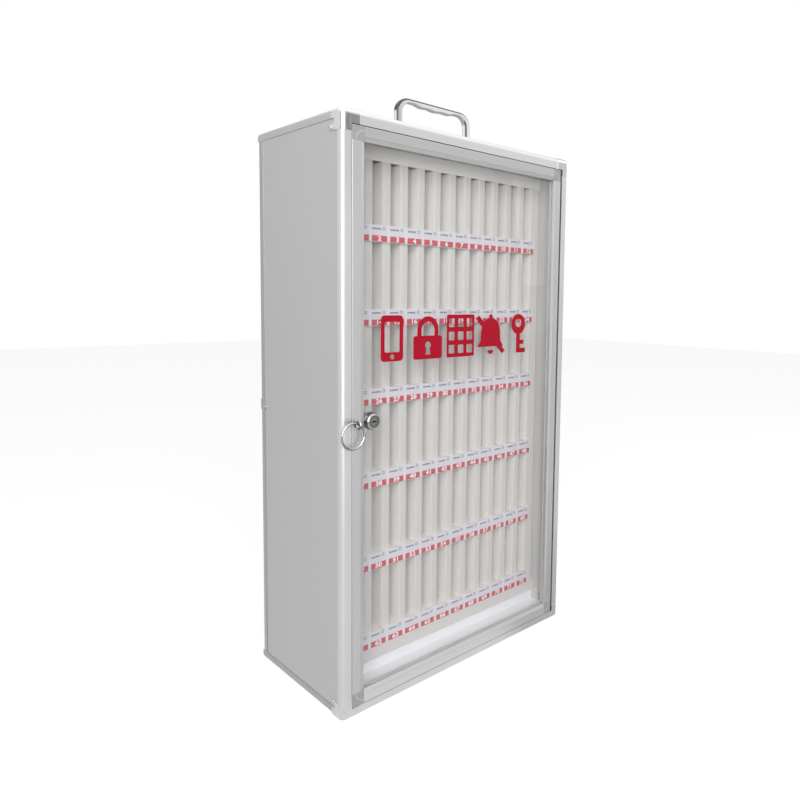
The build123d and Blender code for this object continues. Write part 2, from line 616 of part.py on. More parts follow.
STRIKE_THICK = 1.5
STRIKE_REACH = 8.0
STRIKE_HALF = 16.0
strike_low = LOCK_Z - STRIKE_HALF
strike_high = LOCK_Z + STRIKE_HALF
strike_y = FRAME_BACK + STRIKE_THICK
strike = block(-RACK_WALL, STRIKE_THICK - RACK_WALL, FRAME_BACK, SKIRT_FRONT, strike_low, strike_high)
strike += block(-RACK_WALL, STRIKE_REACH - RACK_WALL, FRAME_BACK, strike_y, strike_low, strike_high)
pieces["lock_strike"] = strike

# Screw eye on the lock stile, and the pull ring that swings in it
SHANK_RADIUS = 1.4
COLLAR_RADIUS = 3.0
COLLAR = 1.0
eye = Pos(EYE_X, EYE_Y, EYE_Z) * Rot(0, 90, 0) * Torus(EYE_RADIUS, EYE_WIRE)
eye += through(SHANK_RADIUS, EYE_X, EYE_Z, EYE_Y + EYE_RADIUS, FRONT + DOOR_WALL)
eye += through(COLLAR_RADIUS, EYE_X, EYE_Z, FRONT - COLLAR, FRONT)
pieces["ring_eye"] = eye
pieces["door_stile_left"] -= through(SHANK_RADIUS, EYE_X, EYE_Z, FRONT - 1, FRONT + DOOR_WALL)

RING_X = EYE_X - RING_RADIUS * sin(radians(RING_LEAN))
RING_Z = RING_PIVOT_Z - RING_RADIUS * cos(radians(RING_LEAN))
pieces["pull_ring"] = Pos(RING_X, EYE_Y, RING_Z) * Rot(90, 0, 0) * Torus(RING_RADIUS, RING_WIRE)

# Carrying handle: an arch cut from one outline, thicker and waved under the fingers
handle_base = LID_TOP + HANDLE_PAD
handle_top = LID_TOP + HANDLE_RISE
outer_x = LEG_X + HANDLE_LEG / 2
inner_x = LEG_X - HANDLE_LEG / 2
inner_top = handle_top - HANDLE_BAR
inner_bend = HANDLE_BEND - HANDLE_BAR
arch = window(-outer_x, outer_x, handle_base, handle_top)
arch = fillet(arch.vertices().sort_by(Axis.Y)[2:4], HANDLE_BEND)
gap = window(-inner_x, inner_x, handle_base - 1, inner_top)
gap = fillet(gap.vertices().sort_by(Axis.Y)[2:4], inner_bend)
outline = arch - gap
grip_half = inner_x - inner_bend - GRIP_END
grip_points = [(-grip_half, inner_top)]
for wave in range(GRIP_WAVES):
    left_x = -grip_half + (wave + 0.5) * 2 * grip_half / GRIP_WAVES
    drop = GRIP_DROP * (1 if wave == GRIP_WAVES // 2 else GRIP_SIDE_SHARE)
    grip_points.append((left_x, inner_top - drop))
    if wave < GRIP_WAVES - 1:
        between_x = left_x + grip_half / GRIP_WAVES
        grip_points.append((between_x, inner_top - GRIP_RISE_SHARE * GRIP_DROP))
grip_points.append((grip_half, inner_top))
wave_line = Spline(grip_points, tangents=[(1, -0.15), (1, 0.15)])
grip_top = inner_top + 1
grip_close = Polyline(
    (grip_half, inner_top), (grip_half, grip_top), (-grip_half, grip_top), (-grip_half, inner_top)
)
outline += make_face([wave_line, grip_close])
handle = Pos(0, HANDLE_Y, 0) * Rot(90, 0, 0) * extrude(outline, amount=HANDLE_WIDE / 2, both=True)
HANDLE_ROUND = 2.6
long_edges = [e for e in handle.edges() if abs(abs(e.center().Y - HANDLE_Y) - HANDLE_WIDE / 2) < TOLERANCE]
long_edges = [e for e in long_edges if e.center().Z > handle_base + TOLERANCE]
handle = fillet(long_edges, HANDLE_ROUND)
PAD_RADIUS = 6.2
SCREW_BITE = 12.0
lid_under = LID_TOP - PANEL
pads = []
for side in (-1, 1):
    pad = upright(PAD_RADIUS, side * LEG_X, HANDLE_Y, LID_TOP, handle_base)
    pads.append(pad - upright(SCREW_RADIUS, side * LEG_X, HANDLE_Y, LID_TOP - 1, handle_base + 1))
    handle -= upright(SCREW_RADIUS, side * LEG_X, HANDLE_Y, handle_base - 1, handle_base + SCREW_BITE)
pieces["handle_bow"] = handle
pieces["handle_feet"] = pads
screws = []
for side in (-1, 1):
    screw = upright(SCREW_RADIUS, side * LEG_X, HANDLE_Y, lid_under, handle_base + SCREW_BITE)
    screw += upright(SCREW_HEAD_RADIUS, side * LEG_X, HANDLE_Y, lid_under - SCREW_HEAD, lid_under)
    screws.append(screw)
pieces["handle_screws"] = screws

os.makedirs("parts", exist_ok=True)
for name, shape in pieces.items():
    if isinstance(shape, list):
        shape = Compound(children=shape)
    export_step(shape, f"parts/{name}.step")
print(len(pieces), "nodes")
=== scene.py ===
"""Looks of a phone locker cabinet: an aluminium-framed box with a glazed, locked door, a rack of
numbered pockets, a pull ring and a carrying handle. Metres, +Z up, front towards -Y.
"""

from math import cos, pi, radians, sin

import bmesh
import bpy
from bpy.props import FloatProperty, FloatVectorProperty, IntProperty, PointerProperty
from mathutils import Matrix, Vector


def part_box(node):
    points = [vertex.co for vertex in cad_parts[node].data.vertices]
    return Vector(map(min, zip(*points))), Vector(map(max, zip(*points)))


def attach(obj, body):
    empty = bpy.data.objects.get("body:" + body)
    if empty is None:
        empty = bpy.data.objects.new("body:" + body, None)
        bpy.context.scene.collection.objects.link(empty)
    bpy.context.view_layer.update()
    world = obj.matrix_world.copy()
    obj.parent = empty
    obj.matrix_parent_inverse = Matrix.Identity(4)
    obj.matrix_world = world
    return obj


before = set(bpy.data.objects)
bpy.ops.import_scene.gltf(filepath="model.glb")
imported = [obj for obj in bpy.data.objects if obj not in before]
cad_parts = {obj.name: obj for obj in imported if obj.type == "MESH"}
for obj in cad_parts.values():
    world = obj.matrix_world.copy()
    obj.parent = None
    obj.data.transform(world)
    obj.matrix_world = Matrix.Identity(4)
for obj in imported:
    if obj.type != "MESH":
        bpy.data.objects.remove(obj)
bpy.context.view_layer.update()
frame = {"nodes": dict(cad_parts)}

bl_info = {
    "name": "Phone locker cabinet",
    "version": (1, 0, 0),
    "blender": (4, 5, 0),
    "location": "3D View > Sidebar > Locker",
    "description": "Finishes, labels, door signs and studio for a phone locker cabinet",
    "category": "Object",
}

MM = 0.001


# ---------------------------------------------------------------- settings


def colour_setting(name, description, default):
    """A colour that a user may change."""
    return FloatVectorProperty(
        name=name, description=description, default=default, subtype="COLOR", size=3, min=0, max=1
    )


def length_setting(name, description, default):
    """A length in metres that a user may change."""
    return FloatProperty(
        name=name, description=description, default=default, subtype="DISTANCE", unit="LENGTH",
        precision=5,
    )


def power_setting(name, description, default):
    """A lamp's power in watts that a user may change."""
    return FloatProperty(name=name, description=description, default=default, min=0, unit="POWER")


def angle_setting(name, description, default):
    """An angle in radians that a user may change."""
    return FloatProperty(
        name=name, description=description, default=default, subtype="ANGLE", unit="ROTATION"
    )


class FinishSettings(bpy.types.PropertyGroup):
    panel: colour_setting("Panels", "Silver grey film on the outer panels", (0.58, 0.583, 0.588))
    frame: colour_setting("Frame", "Anodised extrusions of the case", (0.68, 0.68, 0.685))
    door: colour_setting("Door frame", "Anodised extrusions of the door", (0.58, 0.58, 0.585))
    cap: colour_setting("Corner caps", "Die-cast corner caps", (0.70, 0.70, 0.705))
    block: colour_setting("Door corners", "Moulded corner blocks of the door", (0.37, 0.375, 0.38))
    rack: colour_setting("Rack", "Foamed sheet of the rack", (0.865, 0.838, 0.815))
    # Painted shade: faces of the dividers in front are darkened against the light falling on them
    front: colour_setting("Rack front", "Faces of the dividers in front", (0.655, 0.628, 0.612))
    # Painted shade: the rack's side boards and the plinth strips by them are made darker
    board: colour_setting("Rack sides", "Side boards of the rack", (0.53, 0.52, 0.51))
    skirt: colour_setting("Skirt", "White strip along the floor", (0.84, 0.842, 0.87))
    rubber: colour_setting("Gasket", "Glazing rubber", (0.72, 0.72, 0.73))
    # Painted highlight: the raised corner rings are made paler than their blocks
    arc: colour_setting("Corner rings", "Raised rings on the corner blocks", (0.60, 0.60, 0.61))
    nylon: colour_setting("Bushes", "Nylon of the pivot bushes", (0.75, 0.75, 0.72))
    glass: colour_setting("Glass", "Tint of the pane", (0.99, 0.994, 0.992))
    card: colour_setting("Label card", "Pale upper part of each label", (0.70, 0.675, 0.75))
    band: colour_setting("Label band", "Red band under each number", (0.56, 0.035, 0.055))
    number: colour_setting("Label number", "Printed numbers", (0.93, 0.90, 0.91))
    ink: colour_setting("Label ink", "Small dark print on each label", (0.05, 0.045, 0.07))
    vinyl: colour_setting("Door signs", "Red vinyl of the signs on the glass", (0.44, 0.002, 0.018))
    handle: colour_setting("Handle", "Bright plate of the carrying handle", (0.80, 0.79, 0.80))
    # Painted shade: dark reflections on the handle's upper side and its legs' outer edges
    handle_dull: colour_setting("Handle, painted shade", "Dull sides of the handle", (0.075, 0.07, 0.075))
    # Painted highlight on the ring's faces towards the key lamp, and painted shade on its sides
    ring: colour_setting("Ring", "Front of the pull ring and its eye", (0.78, 0.78, 0.79))
    ring_dull: colour_setting("Ring, painted shade", "Sides of the ring and its eye", (0.15, 0.15, 0.155))
    zinc: colour_setting("Zinc", "Plate of screws, pins, nut and strike", (0.55, 0.56, 0.57))
    plug: colour_setting("Lock plug", "Nickel plate of the lock's plug", (0.24, 0.235, 0.225))


class LabelSettings(bpy.types.PropertyGroup):
    columns: IntProperty(name="Columns", description="Pockets in a row", default=12, min=1)
    rows: IntProperty(name="Rows", description="Rows of pockets", default=6, min=1)
    band_height: length_setting("Band height", "Height of the red band", 7.4 * MM)
    band_width: length_setting("Band width", "Width of the red band", 23.2 * MM)
    card_gap: length_setting("Card gap", "Gap between two label cards", 0.7 * MM)
    number_height: length_setting("Number height", "Height of the printed figures", 6.2 * MM)
    number_width: FloatProperty(
        name="Number width", description="How much the figures are drawn out sideways",
        default=1.3, min=0.5,
    )
    sheet: length_setting("Print thickness", "Thickness of one printed layer", 0.06 * MM)


class SignSettings(bpy.types.PropertyGroup):
    pitch: length_setting("Sign pitch", "From one sign to the next", 57.1 * MM)
    height: length_setting("Sign height", "Height of each sign", 56.7 * MM)
    first_x: length_setting("First sign", "Middle of the leftmost sign", -125.8 * MM)
    middle_z: length_setting("Sign level", "Height of the signs' middle line", 457.0 * MM)
    vinyl: length_setting("Vinyl thickness", "Thickness of the cut vinyl", 0.12 * MM)


class StudioSettings(bpy.types.PropertyGroup):
    camera_x: length_setting("Camera X", "Camera place", -0.62341)
    camera_y: length_setting("Camera Y", "Camera place", -0.75752)
    camera_z: length_setting("Camera Z", "Camera place", 0.51147)
    heading: angle_setting("Heading", "Turn to the right from +Y", 0.77851)
    dip: angle_setting("Dip", "Tilt below the horizon", 0.08050)
    roll: angle_setting("Roll", "Turn about the line of sight", 0.01590)
    lens: FloatProperty(
        name="Lens", description="Focal length on a 36 mm sensor", default=30.2269, min=1
    )
    shift_x: FloatProperty(
        name="Shift X", description="Sideways shift of the frame", default=-0.10402
    )
    shift_y: FloatProperty(
        name="Shift Y", description="Upward shift of the frame", default=-0.06304
    )
    floor: length_setting("Floor size", "Side of the square floor", 12.0)
    sky: FloatProperty(
        name="Sky level", description="Even light from all round", default=0.46, min=0
    )
    key: power_setting("Key light", "Large soft lamp in front", 42.0)
    fill: power_setting("Fill light", "Soft lamp at the side", 4.0)


class LockerSettings(bpy.types.PropertyGroup):
    finish: PointerProperty(type=FinishSettings)
    labels: PointerProperty(type=LabelSettings)
    signs: PointerProperty(type=SignSettings)
    studio: PointerProperty(type=StudioSettings)


def settings():
    """All the settings of this cabinet."""
    return bpy.context.scene.locker


# ---------------------------------------------------------------- shader groups


def group_socket(group, name, kind, default=None, out=False):
    """Adds a named input or output to a shader group."""
    socket = group.interface.new_socket(name, in_out="OUTPUT" if out else "INPUT", socket_type=kind)
    if default is not None:
        socket.default_value = default


def add_node(tree, kind, **values):
    """A node with its properties set."""
    node = tree.nodes.new(kind)
    for name, value in values.items():
        setattr(node, name, value)
    return node


def math_node(tree, operation, first, second):
    """A Math node whose inputs are sockets or numbers."""
    node = add_node(tree, "ShaderNodeMath", operation=operation)
    for socket, value in zip(node.inputs, (first, second)):
        if isinstance(value, bpy.types.NodeSocket):
            tree.links.new(value, socket)
        else:
            socket.default_value = value
    return node.outputs[0]


def either_ray(tree, path, *kinds):
    """1 on rays of either of two kinds, such as Camera or Shadow, and 0 on all others."""
    first, second = (path.outputs[f"Is {kind} Ray"] for kind in kinds)
    return math_node(tree, "MAXIMUM", first, second)


def noise_node(tree, vector, scale, detail):
    """A noise texture along a vector; gives its Factor output."""
    node = add_node(tree, "ShaderNodeTexNoise")
    tree.links.new(vector, node.inputs["Vector"])
    node.inputs["Scale"].default_value = scale
    node.inputs["Detail"].default_value = detail
    return node.outputs["Fac"]


# Scale and detail of the two noises; the Stretch of a finish multiplies the fine one's scale
FINE_NOISE = (1.0, 3)
BROAD_NOISE = (7.0, 2)


def surface_grain_group():
    """Fine grain with a broad drift of tone: every finish of the cabinet is drawn with it.

    Stretch sets the grain's size along each axis, so that small numbers draw it out into lines.
    """
    made = bpy.data.node_groups.get("Surface grain")
    if made:
        return made
    group = bpy.data.node_groups.new("Surface grain", "ShaderNodeTree")
    group_socket(group, "Colour", "NodeSocketColor", (0.5, 0.5, 0.5, 1))
    group_socket(group, "Tone drift", "NodeSocketFloat", 0.05)
    group_socket(group, "Roughness", "NodeSocketFloat", 0.4)
    group_socket(group, "Roughness drift", "NodeSocketFloat", 0.1)
    group_socket(group, "Stretch", "NodeSocketVector", (1000, 1000, 1000))
    group_socket(group, "Grain depth", "NodeSocketFloat", 0.00002)
    group_socket(group, "Colour", "NodeSocketColor", out=True)
    group_socket(group, "Roughness", "NodeSocketFloat", out=True)
    group_socket(group, "Normal", "NodeSocketVector", out=True)
    given = add_node(group, "NodeGroupInput")
    result = add_node(group, "NodeGroupOutput")
    place = add_node(group, "ShaderNodeTexCoord")
    mapped = add_node(group, "ShaderNodeMapping")
    group.links.new(place.outputs["Object"], mapped.inputs["Vector"])
    group.links.new(given.outputs["Stretch"], mapped.inputs["Scale"])
    fine = noise_node(group, mapped.outputs["Vector"], *FINE_NOISE)
    broad = noise_node(group, place.outputs["Object"], *BROAD_NOISE)
    both = math_node(group, "ADD", fine, broad)
    swing = math_node(group, "SUBTRACT", both, 1.0)
    tone = math_node(group, "MULTIPLY", swing, given.outputs["Tone drift"])
    lit = math_node(group, "ADD", tone, 1.0)
    scaled = add_node(group, "ShaderNodeVectorMath", operation="SCALE")
    group.links.new(given.outputs["Colour"], scaled.inputs[0])
    group.links.new(lit, scaled.inputs["Scale"])
    group.links.new(scaled.outputs["Vector"], result.inputs["Colour"])
    rough_swing = math_node(group, "MULTIPLY", swing, given.outputs["Roughness drift"])
    rough = math_node(group, "ADD", rough_swing, given.outputs["Roughness"])
    group.links.new(rough, result.inputs["Roughness"])
    bump = add_node(group, "ShaderNodeBump")
    group.links.new(fine, bump.inputs["Height"])
    group.links.new(given.outputs["Grain depth"], bump.inputs["Distance"])
    group.links.new(bump.outputs["Normal"], result.inputs["Normal"])
    return group


# Places of a Mix node's colour sockets, whose names its other kinds of sockets share
MIX_FIRST, MIX_SECOND, MIX_RESULT = 6, 7, 2


def facing_group():
    """One colour where a surface faces a direction, and another elsewhere.

    Low and High are the slopes where the blend starts and ends: 1 faces it straight on.
    """
    made = bpy.data.node_groups.get("Facing tone")
    if made:
        return made
    group = bpy.data.node_groups.new("Facing tone", "ShaderNodeTree")
    group_socket(group, "Direction", "NodeSocketVector", (0, 0, 1))
    group_socket(group, "Low", "NodeSocketFloat", 0.2)
    group_socket(group, "High", "NodeSocketFloat", 0.5)
    group_socket(group, "Elsewhere", "NodeSocketColor", (0.8, 0.8, 0.8, 1))
    group_socket(group, "Facing", "NodeSocketColor", (0.5, 0.5, 0.5, 1))
    group_socket(group, "Colour", "NodeSocketColor", out=True)
    given = add_node(group, "NodeGroupInput")
    result = add_node(group, "NodeGroupOutput")
    place = add_node(group, "ShaderNodeTexCoord")
    near = add_node(group, "ShaderNodeVectorMath", operation="DOT_PRODUCT")
    group.links.new(place.outputs["Normal"], near.inputs[0])
    group.links.new(given.outputs["Direction"], near.inputs[1])
    share = add_node(group, "ShaderNodeMapRange", interpolation_type="SMOOTHSTEP")
    group.links.new(near.outputs["Value"], share.inputs["Value"])
    group.links.new(given.outputs["Low"], share.inputs["From Min"])
    group.links.new(given.outputs["High"], share.inputs["From Max"])
    blend = add_node(group, "ShaderNodeMix", data_type="RGBA")
    group.links.new(share.outputs["Result"], blend.inputs["Factor"])
    group.links.new(given.outputs["Elsewhere"], blend.inputs[MIX_FIRST])
    group.links.new(given.outputs["Facing"], blend.inputs[MIX_SECOND])
    group.links.new(blend.outputs[MIX_RESULT], result.inputs["Colour"])
    return group


# Share of the flange's radius, and the tone of the plate there: a brushed face, a painted
# highlight on the rim and side, a painted shadow on the seat and a painted highlight on the edge.
RING_LIGHT_AND_SHADE = (
    (0.0, 0.145), (0.66, 0.16), (0.72, 0.46), (0.86, 0.40), (0.89, 0.07), (0.95, 0.10), (1.0, 0.50)
)


def rings_group():
    """A brightness in rings about an axis along Y: painted highlights and shade on the lock's
    plate.
    """
    made = bpy.data.node_groups.get("Painted light rings")
    if made:
        return made
    group = bpy.data.node_groups.new("Painted light rings", "ShaderNodeTree")
    group_socket(group, "Centre", "NodeSocketVector", (0, 0, 0))
    group_socket(group, "Radius", "NodeSocketFloat", 0.01)
    group_socket(group, "Colour", "NodeSocketColor", out=True)
    given = add_node(group, "NodeGroupInput")
    result = add_node(group, "NodeGroupOutput")
    place = add_node(group, "ShaderNodeTexCoord")
    offset = add_node(group, "ShaderNodeVectorMath", operation="SUBTRACT")
    group.links.new(place.outputs["Object"], offset.inputs[0])
    group.links.new(given.outputs["Centre"], offset.inputs[1])
    flat = add_node(group, "ShaderNodeVectorMath", operation="MULTIPLY")
    group.links.new(offset.outputs["Vector"], flat.inputs[0])
    flat.inputs[1].default_value = (1, 0, 1)
    reach = add_node(group, "ShaderNodeVectorMath", operation="LENGTH")
    group.links.new(flat.outputs["Vector"], reach.inputs[0])
    share = math_node(group, "DIVIDE", reach.outputs["Value"], given.outputs["Radius"])
    ramp = add_node(group, "ShaderNodeValToRGB")
    steps = ramp.color_ramp.elements
    for step, (position, tone) in zip(steps, (RING_LIGHT_AND_SHADE[0], RING_LIGHT_AND_SHADE[-1])):
        step.position, step.color = position, (tone, tone, tone, 1)
    for position, tone in RING_LIGHT_AND_SHADE[1:-1]:
        steps.new(position).color = (tone, tone, tone, 1)
    group.links.new(share, ramp.inputs["Fac"])
    group.links.new(ramp.outputs["Color"], result.inputs["Colour"])
    return group


# ---------------------------------------------------------------- materials


def grained_material(
    name, colour, roughness, stretch, depth, metallic=0.0, drift=0.05, rough_drift=0.1, **extra
):
    """A Principled material whose colour, roughness and normal come from the grain group."""
    material = bpy.data.materials.get(name)
    if material:
        return material
    material = bpy.data.materials.new(name)
    material.use_nodes = True
    tree = material.node_tree
    shader = tree.nodes["Principled BSDF"]
    shader.inputs["Metallic"].default_value = metallic
    for socket, value in extra.items():
        shader.inputs[socket.replace("_", " ")].default_value = value
    grain = add_node(tree, "ShaderNodeGroup", node_tree=surface_grain_group())
    grain.inputs["Colour"].default_value = (*colour, 1)
    grain.inputs["Tone drift"].default_value = drift
    grain.inputs["Roughness"].default_value = roughness
    grain.inputs["Roughness drift"].default_value = rough_drift
    grain.inputs["Stretch"].default_value = stretch
    grain.inputs["Grain depth"].default_value = depth
    tree.links.new(grain.outputs["Colour"], shader.inputs["Base Color"])
    tree.links.new(grain.outputs["Roughness"], shader.inputs["Roughness"])
    tree.links.new(grain.outputs["Normal"], shader.inputs["Normal"])
    return material


def recolour(material, group, **values):
    """Feeds the grain of a material from a colour group, laid over the one that fed it before."""
    tree = material.node_tree
    groups = [node for node in tree.nodes if node.type == "GROUP"]
    grain = next(node for node in groups if node.node_tree.name == "Surface grain")
    source = add_node(tree, "ShaderNodeGroup", node_tree=group)
    for socket, value in values.items():
        source.inputs[socket].default_value = value
    for link in grain.inputs["Colour"].links:
        tree.links.new(link.from_socket, source.inputs["Elsewhere"])
    tree.links.new(source.outputs["Colour"], grain.inputs["Colour"])
    return material


# Features of the grain in a metre along each axis: a small number draws them out into lines
ALONG_X = (6, 2600, 2600)
ALONG_Y = (2600, 6, 2600)
ALONG_Z = (2600, 2600, 6)
EVEN = (1400, 1400, 1400)
COARSE = (420, 420, 420)
# Vertical streaks with a strong tone drift paint dark reflections on the corner caps
STREAKED_PAINTED_REFLECTION = (330, 330, 90)


def aluminium(name, colour, shade, direction, roughness):
    """Satin anodised extrusion with die lines along its length.

    Shade is the part of the full tone that it has: painted shade, or painted light above 1.
    """
    stretch = {"x": ALONG_X, "y": ALONG_Y, "z": ALONG_Z}[direction]
    tone = [shade * value for value in colour]
    return grained_material(
        f"{name} along {direction}", tone, roughness=roughness, stretch=stretch, depth=1.5e-6,
        metallic=1.0, drift=0.05, rough_drift=0.12,
    )


def frame_aluminium(direction, name="Anodised frame", shade=1.0):
    """Extrusion of the case."""
    return aluminium(name, settings().finish.frame, shade, direction, roughness=0.42)


def door_aluminium(direction, name="Anodised door", shade=1.0):
    """Extrusion of the door."""
    return aluminium(name, settings().finish.door, shade, direction, roughness=0.45)


def panel_film():
    """Silver grey film of the outer panels."""
    return grained_material(
        "Silver panel film", settings().finish.panel, roughness=0.42, stretch=EVEN, depth=3e-6,
        metallic=0.25, drift=0.035, rough_drift=0.08,
    )


def cap_casting():
    """Polished die casting of the corner caps, with painted dark reflections in vertical streaks.
    """
    return grained_material(
        "Corner cap casting", settings().finish.cap, roughness=0.2, stretch=STREAKED_PAINTED_REFLECTION, depth=1e-5,
        metallic=1.0, drift=0.22, rough_drift=0.12,
    )


def block_plastic():
    """Grey moulding of the door's corner blocks."""
    return grained_material(
        "Grey corner moulding", settings().finish.block, roughness=0.5, stretch=EVEN, depth=2e-5,
        drift=0.08,
    )


def ring_plastic():
    """Plastic of the raised quarter rings, made paler as a painted highlight."""
    return grained_material(
        "Corner ring, painted highlight", settings().finish.arc, roughness=0.45, stretch=EVEN, depth=1e-5,
        drift=0.05,
    )


def rack_sheet():
    """Foamed white sheet of the rack."""
    return grained_material(
        "Foamed rack sheet", settings().finish.rack, roughness=0.55, stretch=COARSE, depth=1e-5,
        drift=0.03,
    )


def board_sheet():
    """Sheet of the rack's side boards, given a darker tone as painted shade."""
    return grained_material(
        "Side board, painted shade", settings().finish.board, roughness=0.6, stretch=COARSE, depth=1e-5,
        drift=0.04,
    )


def folded_sheet():
    """White sheet of the folded dividers, with painted shade that makes the faces in front darker.
    """
    look = settings().finish
    material = grained_material(
        "Folded rack sheet", look.rack, roughness=0.75, stretch=COARSE, depth=2e-6, drift=0.03,
        Specular_IOR_Level=0.2,
    )
    # Painted shade on the faces that look to the front
    return recolour(
        material, facing_group(), Direction=(0, -1, 0), Low=0.05, High=0.4,
        Elsewhere=(*look.rack, 1), Facing=(*look.front, 1),
    )


def plinth_sheet():
    """Plinth sheet, with painted shade in front and, as on the side boards, on its strips by them.
    """
    look = settings().finish
    material = grained_material(
        "Plinth sheet", look.rack, roughness=0.55, stretch=COARSE, depth=1e-5, drift=0.03
    )
    # Painted shade on the faces in front and on the strips that face the side boards
    recolour(
        material, facing_group(), Direction=(0, -1, 0), Low=0.05, High=0.4,
        Elsewhere=(*look.rack, 1), Facing=(*look.front, 1),
    )
    for side in (-1, 1):
        recolour(
            material, facing_group(), Direction=(side, 0, 0), Low=0.3, High=0.6,
            Facing=(*look.board, 1),
        )
    return material


def skirt_sheet():
    """Clean white strip along the floor."""
    return grained_material(
        "White skirt", settings().finish.skirt, roughness=0.35, stretch=EVEN, depth=4e-6,
        drift=0.02,
    )


def glazing_rubber():
    """Rubber channel round the glass."""
    return grained_material(
        "Glazing rubber", settings().finish.rubber, roughness=0.6, stretch=EVEN, depth=5e-6,
        drift=0.06,
    )


def nylon():
    """Natural nylon of the pivot bushes."""
    return grained_material(
        "Nylon bush", settings().finish.nylon, roughness=0.4, stretch=EVEN, depth=1e-5,
        drift=0.04,
    )


def handle_plate():
    """Handle plate, with painted dark reflections on its upper side and each leg's outer edge."""
    look = settings().finish
    # dull carries the painted dark reflection of the handle
    dull = (*look.handle_dull, 1)
    material = grained_material(
        "Handle plate", look.handle, roughness=0.10, stretch=COARSE, depth=2e-6,
        metallic=1.0, drift=0.03, rough_drift=0.05,
    )
    recolour(
        material, facing_group(), Direction=(0, 0, 1), Low=0.01, High=0.15,
        Elsewhere=(*look.handle, 1), Facing=dull,
    )
    return recolour(
        material, facing_group(), Direction=(-0.71, -0.71, 0), Low=0.82, High=0.93, Facing=dull
    )


def chrome():
    """Bright plate of the ring and eye: painted highlight towards the key lamp, painted shade at
    the sides.
    """
    look = settings().finish
    material = grained_material(
        "Bright plate", look.ring, roughness=0.09, stretch=COARSE, depth=2e-6,
        metallic=1.0, drift=0.03, rough_drift=0.05,
    )
    # Painted highlight on faces towards the key lamp, painted shade on the rest
    return recolour(
        material, facing_group(), Direction=(-0.50, -0.76, 0.42), Low=0.68, High=0.94,
        Elsewhere=(*look.ring_dull, 1), Facing=(*look.ring, 1),
    )


def lock_plate():
    """Plate of the lock: brushed grey face, painted highlight on the rim and painted shadow on the
    seat.
    """
    material = grained_material(
        "Lock plate", settings().finish.plug, roughness=0.16, stretch=COARSE, depth=3e-6,
        metallic=1.0, drift=0.05, rough_drift=0.08,
    )
    low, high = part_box("lock_body")
    middle = frame["nodes"]["lock_body"].matrix_world.inverted() @ ((low + high) / 2)
    return recolour(material, rings_group(), Centre=middle, Radius=(high.x - low.x) / 2)


def zinc():
    """Zinc-plated steel of screws, pins, nut and strike."""
    return grained_material(
        "Zinc plate", settings().finish.zinc, roughness=0.3, stretch=COARSE, depth=1e-5,
        metallic=1.0, drift=0.12, rough_drift=0.2,
    )


def nickel():
    """Nickel plate of the lock's plug."""
    return grained_material(
        "Nickel plug", settings().finish.plug, roughness=0.2, stretch=COARSE, depth=4e-6,
        metallic=1.0, drift=0.05, rough_drift=0.1,
    )


def label_print(name, colour):
    """One colour of laminated print."""
    return grained_material(name, colour, roughness=0.38, stretch=EVEN, depth=3e-6, drift=0.03)


def vinyl():
    """Cut vinyl of the signs on the glass."""
    return grained_material(
        "Sign vinyl", settings().finish.vinyl, roughness=0.45, stretch=EVEN, depth=4e-6,
        drift=0.03, Specular_IOR_Level=0.2,
    )


GLASS_IOR = 1.5
LIGHT_THROUGH_GLASS = (0.985, 0.99, 0.987, 1)


def pane_glass():
    """Clear float glass that lets lamps through to what is behind it."""
    material = bpy.data.materials.get("Float glass")
    if material:
        return material
    material = bpy.data.materials.new("Float glass")
    material.use_nodes = True
    tree = material.node_tree
    shader = tree.nodes["Principled BSDF"]
    shader.inputs["Base Color"].default_value = (*settings().finish.glass, 1)
    shader.inputs["Roughness"].default_value = 0.0
    shader.inputs["IOR"].default_value = GLASS_IOR
    shader.inputs["Transmission Weight"].default_value = 1.0
    clear = add_node(tree, "ShaderNodeBsdfTransparent")
    clear.inputs["Color"].default_value = LIGHT_THROUGH_GLASS
    path = add_node(tree, "ShaderNodeLightPath")
    lamps = either_ray(tree, path, "Shadow", "Diffuse")
    mixed = add_node(tree, "ShaderNodeMixShader")
    tree.links.new(lamps, mixed.inputs["Fac"])
    tree.links.new(shader.outputs["BSDF"], mixed.inputs[1])
    tree.links.new(clear.outputs["BSDF"], mixed.inputs[2])
    tree.links.new(mixed.outputs["Shader"], tree.nodes["Material Output"].inputs["Surface"])
    return material


def dress(material, *names):
    """Gives CAD nodes a material."""
    for name in names:
        mesh = frame["nodes"][name].data
        mesh.materials.clear()
        mesh.materials.append(material)


# ---------------------------------------------------------------- mesh helpers


def add_slab(work, low, high, material_index):
    """Adds a box between two corners to a mesh being built."""
    made = bmesh.ops.create_cube(work, size=1.0)
    size = [b - a for a, b in zip(low, high)]
    middle = [(a + b) / 2 for a, b in zip(low, high)]
    bmesh.ops.scale(work, vec=size, verts=made["verts"])
    bmesh.ops.translate(work, vec=middle, verts=made["verts"])
    for face in {f for v in made["verts"] for f in v.link_faces}:
        face.material_index = material_index


def add_mesh(work, mesh, matrix, material_index=0):
    """Adds a mesh, moved by a matrix, to a mesh being built."""
    first_vertex = len(work.verts)
    first_face = len(work.faces)
    work.from_mesh(mesh)
    work.verts.ensure_lookup_table()
    work.faces.ensure_lookup_table()
    bmesh.ops.transform(work, matrix=matrix, verts=work.verts[first_vertex:])
    for face in work.faces[first_face:]:
        face.material_index = material_index


def finish_piece(work, name, body, materials):
    """Turns a mesh being built into a piece that rides on a body."""
    mesh = bpy.data.meshes.new(name)
    work.to_mesh(mesh)
    work.free()
    piece = bpy.data.objects.new(name, mesh)
    bpy.context.scene.collection.objects.link(piece)
    for material in materials:
        mesh.materials.append(material)
    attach(piece, body)


# Turns a flat mesh that faces +Z so that it faces -Y
UPRIGHT = Matrix.Rotation(pi / 2, 4, "X")


